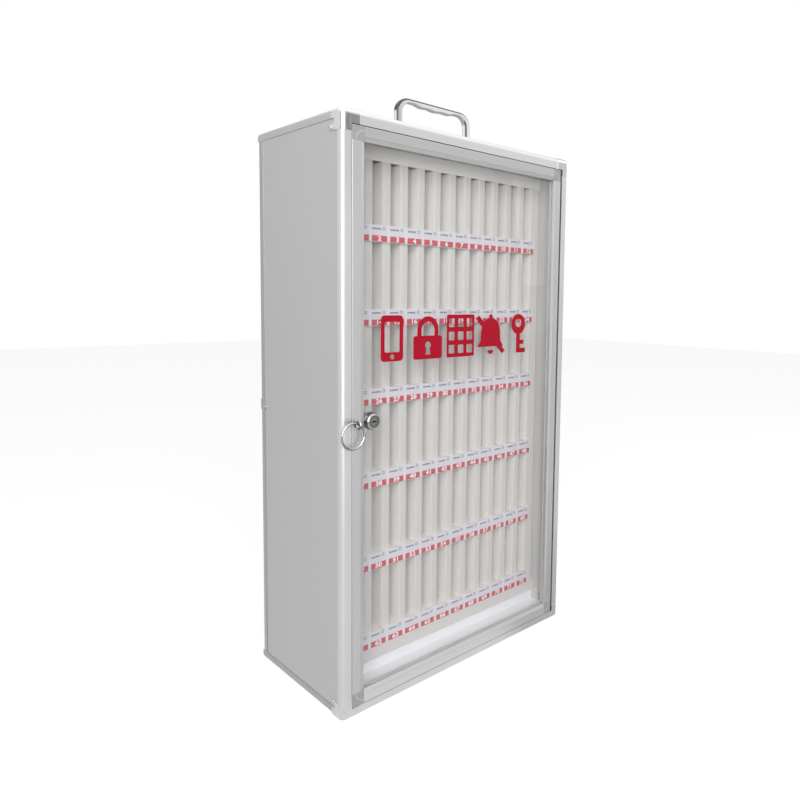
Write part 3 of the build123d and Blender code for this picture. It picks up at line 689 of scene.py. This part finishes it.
def curve_mesh(curve):
    """The mesh of a curve or text, made through a passing object."""
    holder = bpy.data.objects.new("holder", curve)
    bpy.context.scene.collection.objects.link(holder)
    seen = holder.evaluated_get(bpy.context.evaluated_depsgraph_get())
    mesh = bpy.data.meshes.new_from_object(seen)
    bpy.data.objects.remove(holder)
    bpy.data.curves.remove(curve)
    return mesh


# ---------------------------------------------------------------- labels


# Font size and growth of the strokes beside a figure's height, and steps along a font's curve
FIGURE_SIZE = 1.32
FIGURE_BOLD = 0.04
FIGURE_STEPS = 3


def figure_mesh(text, height, thickness):
    """Printed figures, centred, lying in XY and facing +Z."""
    curve = bpy.data.curves.new("figures", "FONT")
    curve.body = text
    curve.align_x = "CENTER"
    curve.align_y = "CENTER"
    curve.size = height * FIGURE_SIZE
    curve.offset = height * FIGURE_BOLD
    curve.extrude = thickness / 2
    curve.resolution_u = FIGURE_STEPS
    return curve_mesh(curve)


# From the label's lower edge up to its red band
BAND_RAISE = 0.4 * MM
# The four prints of a label, and the places of their materials
PRINTS = ("card", "band", "number", "ink")
CARD, BAND, NUMBER, INK = range(len(PRINTS))


def build_label_row(row):
    """The twelve printed labels of one shelf, on its label strip."""
    look = settings().finish
    sizes = settings().labels
    strips_low, strips_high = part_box("label_strips")
    shelf_low, shelf_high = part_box(f"shelf_{row + 1}")
    pitch = (strips_high.x - strips_low.x) / sizes.columns
    face = strips_low.y
    low, high = shelf_low.z, shelf_high.z
    sheet = sizes.sheet
    work = bmesh.new()
    drawn_out = Matrix.Scale(sizes.number_width, 4, (1, 0, 0))
    for column in range(sizes.columns):
        left = strips_low.x + column * pitch
        middle = left + pitch / 2
        half_gap = sizes.card_gap / 2
        card_start = (left + half_gap, face - sheet, low)
        add_slab(work, card_start, (left + pitch - half_gap, face, high), CARD)
        band_low = low + BAND_RAISE
        band_high = band_low + sizes.band_height
        half_band = sizes.band_width / 2
        band_start = (middle - half_band, face - 2 * sheet, band_low)
        add_slab(work, band_start, (middle + half_band, face - sheet, band_high), BAND)
        number = row_number(row, column)
        place = Matrix.Translation((middle, face - 2.5 * sheet, (band_low + band_high) / 2))
        mesh = figure_mesh(str(number), sizes.number_height, sheet)
        add_mesh(work, mesh, place @ UPRIGHT @ drawn_out, NUMBER)
        bpy.data.meshes.remove(mesh)
        add_name_line(work, left, face - sheet, high, sheet)
    materials = [label_print(f"Label {part}", getattr(look, part)) for part in PRINTS]
    finish_piece(work, f"labels_row_{row + 1}", "case", materials)


def row_number(row, column):
    """The pocket's number: the top row starts at 1."""
    sizes = settings().labels
    return (sizes.rows - 1 - row) * sizes.columns + column + 1


# Start and width of each mark and of the tick box, in millimetres from the label's left edge
NAME_MARKS = ((3.2, 1.5), (5.3, 1.0), (6.9, 1.3), (8.8, 1.1), (10.5, 1.6), (12.7, 0.9), (14.2, 1.4))
TICK_BOX = (19.0, 3.6)
# Marks wider than this have the second rise; line and box hang below the label's upper edge
WIDE_MARK = 1.2
MARK_RISES = (1.8 * MM, 2.3 * MM)
NAME_LINE_DROP = 3.4 * MM
TICK_BOX_DROP = 2.0 * MM
TICK_BOX_LINE = 0.55 * MM


def add_name_line(work, left, face, top, sheet):
    """A row of small unreadable marks and an empty tick box near the top of a label."""
    line_high = top - NAME_LINE_DROP
    for start, width in NAME_MARKS:
        rise = MARK_RISES[width > WIDE_MARK]
        add_slab(
            work,
            (left + start * MM, face - sheet, line_high - rise),
            (left + (start + width) * MM, face, line_high),
            INK,
        )
    start, side = TICK_BOX
    x0, x1 = left + start * MM, left + (start + side) * MM
    z1 = top - TICK_BOX_DROP
    z0 = z1 - side * MM
    line = TICK_BOX_LINE
    add_slab(work, (x0, face - sheet, z0), (x1, face, z0 + line), INK)
    add_slab(work, (x0, face - sheet, z1 - line), (x1, face, z1), INK)
    add_slab(work, (x0, face - sheet, z0 + line), (x0 + line, face, z1 - line), INK)
    add_slab(work, (x1 - line, face - sheet, z0 + line), (x1, face, z1 - line), INK)


# ---------------------------------------------------------------- signs on the glass


def round_points(cx, cz, radius, start=0.0, turn=2 * pi, steps=40):
    """Points along a circle, or along an arc from a start angle over a turn in radians."""
    closed = abs(turn) > 2 * pi - 0.001
    count = steps if closed else steps + 1
    angles = [start + turn * i / steps for i in range(count)]
    return [(cx + radius * cos(angle), cz + radius * sin(angle)) for angle in angles]


def box_points(x0, x1, z0, z1, radius=0.0):
    """Points round a rectangle, with rounded corners if a radius is given."""
    if radius <= 0:
        return [(x0, z0), (x1, z0), (x1, z1), (x0, z1)]
    points = []
    for cx, cz, quarter in (
        (x1 - radius, z0 + radius, -pi / 2),
        (x1 - radius, z1 - radius, 0),
        (x0 + radius, z1 - radius, pi / 2),
        (x0 + radius, z0 + radius, pi),
    ):
        points += round_points(cx, cz, radius, quarter, pi / 2, 6)
    return points


def phone_sign():
    """A phone, as outline, screen and button."""
    return [
        [box_points(-0.30, 0.30, -0.5, 0.5, 0.09), box_points(-0.20, 0.20, -0.30, 0.36, 0.03),
         round_points(0, -0.40, 0.055)],
    ]


def padlock_sign():
    """A padlock with a keyhole."""
    shackle = round_points(0, 0.16, 0.31, 0, pi, 24) + [(-0.31, 0.0), (-0.19, 0.0)]
    shackle += round_points(0, 0.16, 0.19, pi, -pi, 24) + [(0.19, 0.0), (0.31, 0.0)]
    keyhole = round_points(0, -0.19, 0.085, -pi * 0.3, pi * 1.6, 24)
    keyhole += [(-0.075, -0.40), (0.075, -0.40)]
    return [[shackle], [box_points(-0.42, 0.42, -0.5, 0.03, 0.06), keyhole]]


def pigeonhole_sign():
    """A cabinet of small compartments."""
    holes = []
    for column in range(3):
        for row in range(3):
            x = -0.285 + column * 0.285
            z = -0.31 + row * 0.31
            holes.append(box_points(x - 0.09, x + 0.09, z - 0.10, z + 0.10, 0.02))
    return [[box_points(-0.44, 0.44, -0.5, 0.5, 0.04), *holes]]


def bell_sign():
    """A bell with a bar across it: keep phones silent."""
    left = [(-0.12, 0.40), (-0.27, 0.28), (-0.33, 0.10), (-0.35, -0.16), (-0.45, -0.30)]
    bell = left + [(-x, z) for x, z in reversed(left)]
    half = 0.055
    bar = [(-0.46 - half, 0.40), (-0.46 + half, 0.47), (0.46 + half, -0.42), (0.46 - half, -0.49)]
    clapper = round_points(0, -0.39, 0.10, pi, pi, 16)
    knob = round_points(0, 0.44, 0.06)
    return [[bell], [clapper], [knob], [bar]]


def key_sign():
    """A key, bow at the top."""
    bow = [round_points(0, 0.24, 0.26), round_points(0, 0.27, 0.11)]
    stem = box_points(-0.07, 0.07, -0.5, 0.06)
    lower_bit = box_points(0.07, 0.27, -0.5, -0.38)
    upper_bit = box_points(0.07, 0.21, -0.28, -0.17)
    return [bow, [stem], [lower_bit], [upper_bit]]


# How much thicker each next shape of a sign is, so that no two of its faces lie in one plane
LAYER_GROWTH = 0.5
SIGNS = (phone_sign, padlock_sign, pigeonhole_sign, bell_sign, key_sign)


def shape_mesh(loops, thickness):
    """A flat shape with holes from closed loops of points, facing +Z."""
    curve = bpy.data.curves.new("shape", "CURVE")
    curve.dimensions = "2D"
    curve.fill_mode = "BOTH"
    curve.extrude = thickness / 2
    for loop in loops:
        spline = curve.splines.new("POLY")
        spline.points.add(len(loop) - 1)
        for point, (x, y) in zip(spline.points, loop):
            point.co = (x, y, 0, 1)
        spline.use_cyclic_u = True
    return curve_mesh(curve)


def build_sign(index, shapes):
    """One red vinyl sign on the outside of the pane; each of its shapes is cut a little thicker."""
    sizes = settings().signs
    glass_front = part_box("door_glass")[0].y
    middle = sizes.first_x + index * sizes.pitch
    work = bmesh.new()
    for layer, loops in enumerate(shapes):
        sheet = sizes.vinyl * (1 + LAYER_GROWTH * layer)
        mesh = shape_mesh(loops, sheet / sizes.height)
        place = Matrix.Translation((middle, glass_front - sheet / 2, sizes.middle_z))
        add_mesh(work, mesh, place @ UPRIGHT @ Matrix.Scale(sizes.height, 4))
        bpy.data.meshes.remove(mesh)
    name = SIGNS[index].__name__
    finish_piece(work, name, "door", [vinyl()])


# ---------------------------------------------------------------- door corners


# Quarter ring: its middle radius, width and rise, and its centre's distance from the inner corner
ARC_RADIUS = 11.0 * MM
ARC_WIDTH = 0.9 * MM
ARC_RISE = 0.25 * MM
ARC_INSET = 0.8 * MM
ARC_STEPS = 20


def build_corner_arcs():
    """A raised quarter ring on the face of each of the door's corner blocks."""
    low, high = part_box("door_corner_blocks")
    frame_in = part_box("door_stile_left")[1].x - low.x
    work = bmesh.new()
    for x_edge, x_side in ((low.x, 1), (high.x, -1)):
        for z_edge, z_side in ((low.z, 1), (high.z, -1)):
            cx = x_edge + x_side * (frame_in - ARC_INSET)
            cz = z_edge + z_side * (frame_in - ARC_INSET)
            rings = []
            for i in range(ARC_STEPS + 1):
                angle = pi / 2 * i / ARC_STEPS
                out = Vector((-x_side * cos(angle), 0, -z_side * sin(angle)))
                centre = Vector((cx, low.y, cz))
                rings.append([
                    work.verts.new(centre + out * (ARC_RADIUS - ARC_WIDTH / 2)),
                    work.verts.new(centre + out * ARC_RADIUS + Vector((0, -ARC_RISE, 0))),
                    work.verts.new(centre + out * (ARC_RADIUS + ARC_WIDTH / 2)),
                ])
            for a, b in zip(rings, rings[1:]):
                for k in range(2):
                    work.faces.new((a[k], a[k + 1], b[k + 1], b[k]))
                work.faces.new((a[2], a[0], b[0], b[2]))
            for end in (rings[0], rings[-1]):
                work.faces.new(end)
    bmesh.ops.recalc_face_normals(work, faces=work.faces)
    finish_piece(work, "door_corner_arcs", "door", [ring_plastic()])


# ---------------------------------------------------------------- stage


# Parts of the room that polished metal shows: turn from the front towards the left, height above
# the horizon and radius, all in degrees, and how bright the part is beside a white wall.
ROOM_ZONES = (
    (50, 6, 27, 0.10),
    (-29, 12, 8, 0.20),
    (-55, 8, 9, 0.20),
    (-118, 4, 38, 0.40),
    (180, 6, 26, 0.45),
    (-68, -50, 20, 0.45),
    (0, 90, 50, 1.6),
)
# Where a part of the room starts and where it is full, beside its radius
ZONE_START, ZONE_FULL = 1.25, 0.75
# Height in metres of the middle of the room, from which its directions are counted
ROOM_HEIGHT = 0.36


def room_zones_group():
    """How bright the room is along a direction: white walls with some darker or brighter parts."""
    made = bpy.data.node_groups.get("Room zones")
    if made:
        return made
    group = bpy.data.node_groups.new("Room zones", "ShaderNodeTree")
    group_socket(group, "Direction", "NodeSocketVector", (0, 0, 1))
    group_socket(group, "Level", "NodeSocketFloat", out=True)
    given = add_node(group, "NodeGroupInput")
    result = add_node(group, "NodeGroupOutput")
    unit = add_node(group, "ShaderNodeVectorMath", operation="NORMALIZE")
    group.links.new(given.outputs["Direction"], unit.inputs[0])
    level = None
    for turn, height, radius, value in ROOM_ZONES:
        turn, height = radians(turn), radians(height)
        towards = (-sin(turn) * cos(height), -cos(turn) * cos(height), sin(height))
        near = add_node(group, "ShaderNodeVectorMath", operation="DOT_PRODUCT")
        group.links.new(unit.outputs["Vector"], near.inputs[0])
        near.inputs[1].default_value = towards
        share = add_node(group, "ShaderNodeMapRange", interpolation_type="SMOOTHSTEP")
        group.links.new(near.outputs["Value"], share.inputs["Value"])
        share.inputs["From Min"].default_value = cos(radians(radius * ZONE_START))
        share.inputs["From Max"].default_value = cos(radians(radius * ZONE_FULL))
        share.inputs["To Min"].default_value = 1.0
        share.inputs["To Max"].default_value = value
        found = share.outputs["Result"]
        level = found if level is None else math_node(group, "MULTIPLY", level, found)
    group.links.new(level, result.inputs["Level"])
    return group


def world_light():
    """White to the camera, even light for surfaces, and a room with zones for polished metal."""
    studio = settings().studio
    world = bpy.data.worlds.new("Studio")
    bpy.context.scene.world = world
    world.use_nodes = True
    tree = world.node_tree
    tree.nodes.clear()
    path = add_node(tree, "ShaderNodeLightPath")
    seen = either_ray(tree, path, "Camera", "Transmission")
    place = add_node(tree, "ShaderNodeTexCoord")
    zones = add_node(tree, "ShaderNodeGroup", node_tree=room_zones_group())
    tree.links.new(place.outputs["Generated"], zones.inputs["Direction"])
    mirrored = math_node(tree, "MULTIPLY", zones.outputs["Level"], path.outputs["Is Glossy Ray"])
    other = math_node(tree, "SUBTRACT", 1.0, path.outputs["Is Glossy Ray"])
    even = math_node(tree, "MULTIPLY", other, studio.sky)
    level = math_node(tree, "ADD", mirrored, even)
    level = math_node(tree, "MAXIMUM", level, seen)
    light = add_node(tree, "ShaderNodeBackground")
    light.inputs["Color"].default_value = (1, 1, 1, 1)
    tree.links.new(level, light.inputs["Strength"])
    result = add_node(tree, "ShaderNodeOutputWorld")
    tree.links.new(light.outputs["Background"], result.inputs["Surface"])


# Floor: its matte tone, its glow, the share of it that metal mirrors and its drop below the cabinet
FLOOR_TONE = (0.42, 0.42, 0.42, 1)
FLOOR_GLOW = 0.75
FLOOR_IN_METAL = 0.72
FLOOR_DROP = 0.2 * MM


def floor_material():
    """Pale floor: nearly white by itself, and it still takes a soft shadow."""
    material = bpy.data.materials.new("Studio floor")
    material.use_nodes = True
    tree = material.node_tree
    tree.nodes.remove(tree.nodes["Principled BSDF"])
    matte = add_node(tree, "ShaderNodeBsdfDiffuse")
    matte.inputs["Color"].default_value = FLOOR_TONE
    glow = add_node(tree, "ShaderNodeEmission")
    path = add_node(tree, "ShaderNodeLightPath")
    seen = either_ray(tree, path, "Camera", "Transmission")
    place = add_node(tree, "ShaderNodeTexCoord")
    from_middle = add_node(tree, "ShaderNodeVectorMath", operation="SUBTRACT")
    tree.links.new(place.outputs["Object"], from_middle.inputs[0])
    from_middle.inputs[1].default_value = (0, 0, ROOM_HEIGHT)
    zones = add_node(tree, "ShaderNodeGroup", node_tree=room_zones_group())
    tree.links.new(from_middle.outputs["Vector"], zones.inputs["Direction"])
    mirrored = math_node(tree, "MULTIPLY", zones.outputs["Level"], path.outputs["Is Glossy Ray"])
    mirrored = math_node(tree, "MULTIPLY", mirrored, FLOOR_IN_METAL)
    shown = math_node(tree, "MAXIMUM", seen, mirrored)
    level = math_node(tree, "MULTIPLY", shown, FLOOR_GLOW)
    tree.links.new(level, glow.inputs["Strength"])
    both = add_node(tree, "ShaderNodeAddShader")
    tree.links.new(matte.outputs["BSDF"], both.inputs[0])
    tree.links.new(glow.outputs["Emission"], both.inputs[1])
    tree.links.new(both.outputs["Shader"], tree.nodes["Material Output"].inputs["Surface"])
    return material


# Places and sizes of the lamps in metres
KEY_PLACE = (-1.35, -1.75, 1.15)
KEY_SIZE = (1.9, 1.9)
FILL_PLACE = (2.0, -0.9, 1.3)
FILL_SIZE = (1.6, 1.6)


def add_lamp(name, place, target, size, power):
    """A rectangular area lamp that looks at a point."""
    data = bpy.data.lights.new(name, "AREA")
    data.shape = "RECTANGLE"
    data.size, data.size_y = size
    data.energy = power
    lamp = bpy.data.objects.new(name, data)
    bpy.context.scene.collection.objects.link(lamp)
    lamp.location = place
    lamp.rotation_euler = (Vector(target) - Vector(place)).to_track_quat("-Z", "Y").to_euler()


# Width of the camera's sensor in millimetres, and the nearest and farthest that it sees in metres
SENSOR_WIDTH = 36
VIEW_RANGE = (0.01, 100)


def add_camera():
    """The camera at the viewing angle of a buyer who stands at the cabinet's left front."""
    studio = settings().studio
    data = bpy.data.cameras.new("Camera")
    camera = bpy.data.objects.new("Camera", data)
    bpy.context.scene.collection.objects.link(camera)
    place = Matrix.Translation((studio.camera_x, studio.camera_y, studio.camera_z))
    turn = Matrix.Rotation(-studio.heading, 4, "Z")
    tilt = Matrix.Rotation(pi / 2 - studio.dip, 4, "X")
    camera.matrix_world = place @ turn @ tilt @ Matrix.Rotation(studio.roll, 4, "Z")
    data.sensor_width = SENSOR_WIDTH
    data.lens = studio.lens
    data.shift_x = studio.shift_x
    data.shift_y = studio.shift_y
    data.clip_start, data.clip_end = VIEW_RANGE
    bpy.context.scene.camera = camera


# ---------------------------------------------------------------- operators


# Painted shade on extrusions away from the light, and painted light above 1: part of the metal's
# full tone
BACK_POST_SHADE = 0.72
SIDE_RAIL_SHADES = (("top", 0.86), ("bottom", 0.67))
DOOR_RAIL_SHADES = (("top", 0.91), ("bottom", 1.17))


class LOCKER_OT_stage(bpy.types.Operator):
    """Floor, lamps, world and camera"""

    bl_idname = "locker.stage"
    bl_label = "Studio"

    def execute(self, context):
        studio = settings().studio
        half = studio.floor / 2
        work = bmesh.new()
        corners = ((-half, -half), (half, -half), (half, half), (-half, half))
        work.faces.new([work.verts.new((x, y, -FLOOR_DROP)) for x, y in corners])
        mesh = bpy.data.meshes.new("studio_floor")
        work.to_mesh(mesh)
        work.free()
        mesh.materials.append(floor_material())
        floor = bpy.data.objects.new("studio_floor", mesh)
        context.scene.collection.objects.link(floor)
        world_light()
        middle = (0, 0, ROOM_HEIGHT)
        add_lamp("Key lamp", KEY_PLACE, middle, KEY_SIZE, studio.key)
        add_lamp("Fill lamp", FILL_PLACE, middle, FILL_SIZE, studio.fill)
        add_camera()
        context.scene.view_settings.view_transform = "Standard"
        return {"FINISHED"}


class LOCKER_OT_case(bpy.types.Operator):
    """Finishes of the outer panels, the extrusions and the corner caps"""

    bl_idname = "locker.case"
    bl_label = "Case"

    def execute(self, context):
        dress(panel_film(), "side_panel_left", "side_panel_right")
        dress(panel_film(), "top_panel", "bottom_panel", "back_panel")
        dress(frame_aluminium("z"), "front_post_left", "front_post_right")
        back_post = frame_aluminium("z", "Back post", BACK_POST_SHADE)
        dress(back_post, "back_post_left", "back_post_right")
        dress(frame_aluminium("x"), "top_front_rail", "bottom_front_rail")
        dress(frame_aluminium("x"), "top_back_rail", "bottom_back_rail")
        for level, shade in SIDE_RAIL_SHADES:
            rail = frame_aluminium("y", f"Side rail {level}", shade)
            for side in ("left", "right"):
                dress(rail, f"{level}_side_rail_{side}")
                dress(cap_casting(), f"corner_cap_{level}_{side}")
        dress(zinc(), "cap_rivets", "corner_screws", "back_clips")
        return {"FINISHED"}


class LOCKER_OT_rack(bpy.types.Operator):
    """Boards, dividers and shelves of the rack"""

    bl_idname = "locker.rack"
    bl_label = "Rack"

    def execute(self, context):
        dress(rack_sheet(), "rack_back", "rack_top", "rack_header", "label_strips")
        dress(board_sheet(), "rack_side_left", "rack_side_right")
        dress(folded_sheet(), "pocket_dividers", "end_dividers")
        dress(plinth_sheet(), "rack_plinth")
        for row in range(settings().labels.rows):
            dress(rack_sheet(), f"shelf_{row + 1}")
        dress(skirt_sheet(), "floor_skirt", "rack_floor")
        return {"FINISHED"}


class LOCKER_OT_labels(bpy.types.Operator):
    """Numbered labels of the pockets"""

    bl_idname = "locker.labels"
    bl_label = "Labels"

    def execute(self, context):
        for row in range(settings().labels.rows):
            build_label_row(row)
        return {"FINISHED"}


class LOCKER_OT_door(bpy.types.Operator):
    """Door frame, corner blocks, glass and pivots"""

    bl_idname = "locker.door"
    bl_label = "Door"

    def execute(self, context):
        dress(door_aluminium("z"), "door_stile_left", "door_stile_right")
        for level, shade in DOOR_RAIL_SHADES:
            dress(door_aluminium("x", f"Door {level} rail", shade), f"door_rail_{level}")
        dress(block_plastic(), "door_corner_blocks")
        dress(glazing_rubber(), "glass_gasket")
        dress(pane_glass(), "door_glass")
        dress(zinc(), "pivot_pins")
        dress(nylon(), "pivot_bushes")
        build_corner_arcs()
        return {"FINISHED"}


class LOCKER_OT_signs(bpy.types.Operator):
    """Plain red signs on the glass"""

    bl_idname = "locker.signs"
    bl_label = "Door signs"

    def execute(self, context):
        for index, sign in enumerate(SIGNS):
            build_sign(index, sign())
        return {"FINISHED"}


class LOCKER_OT_hardware(bpy.types.Operator):
    """Lock, pull ring and carrying handle"""

    bl_idname = "locker.hardware"
    bl_label = "Hardware"

    def execute(self, context):
        dress(chrome(), "ring_eye", "pull_ring", "handle_feet")
        dress(handle_plate(), "handle_bow")
        dress(lock_plate(), "lock_body")
        dress(nickel(), "lock_plug")
        dress(zinc(), "lock_nut", "lock_cam", "lock_strike", "handle_screws")
        return {"FINISHED"}


class LOCKER_PT_panel(bpy.types.Panel):
    """Builds the cabinet's looks piece by piece"""

    bl_idname = "LOCKER_PT_panel"
    bl_label = "Phone locker cabinet"
    bl_space_type = "VIEW_3D"
    bl_region_type = "UI"
    bl_category = "Locker"

    def draw(self, context):
        for operator in OPERATORS:
            self.layout.operator(operator.bl_idname)


OPERATORS = (
    LOCKER_OT_stage,
    LOCKER_OT_case,
    LOCKER_OT_rack,
    LOCKER_OT_labels,
    LOCKER_OT_door,
    LOCKER_OT_signs,
    LOCKER_OT_hardware,
)
SETTING_GROUPS = (FinishSettings, LabelSettings, SignSettings, StudioSettings, LockerSettings)


def register():
    """Registers the settings, the operators and the panel."""
    for item in (*SETTING_GROUPS, *OPERATORS, LOCKER_PT_panel):
        bpy.utils.register_class(item)
    bpy.types.Scene.locker = PointerProperty(type=LockerSettings)


def unregister():
    """Takes back what register added."""
    del bpy.types.Scene.locker
    for item in reversed((*SETTING_GROUPS, *OPERATORS, LOCKER_PT_panel)):
        bpy.utils.unregister_class(item)


def main():
    """Builds the whole cabinet."""
    register()
    for operator in OPERATORS:
        group, name = operator.bl_idname.split(".")
        getattr(getattr(bpy.ops, group), name)()


if __name__ == "__main__":
    main()
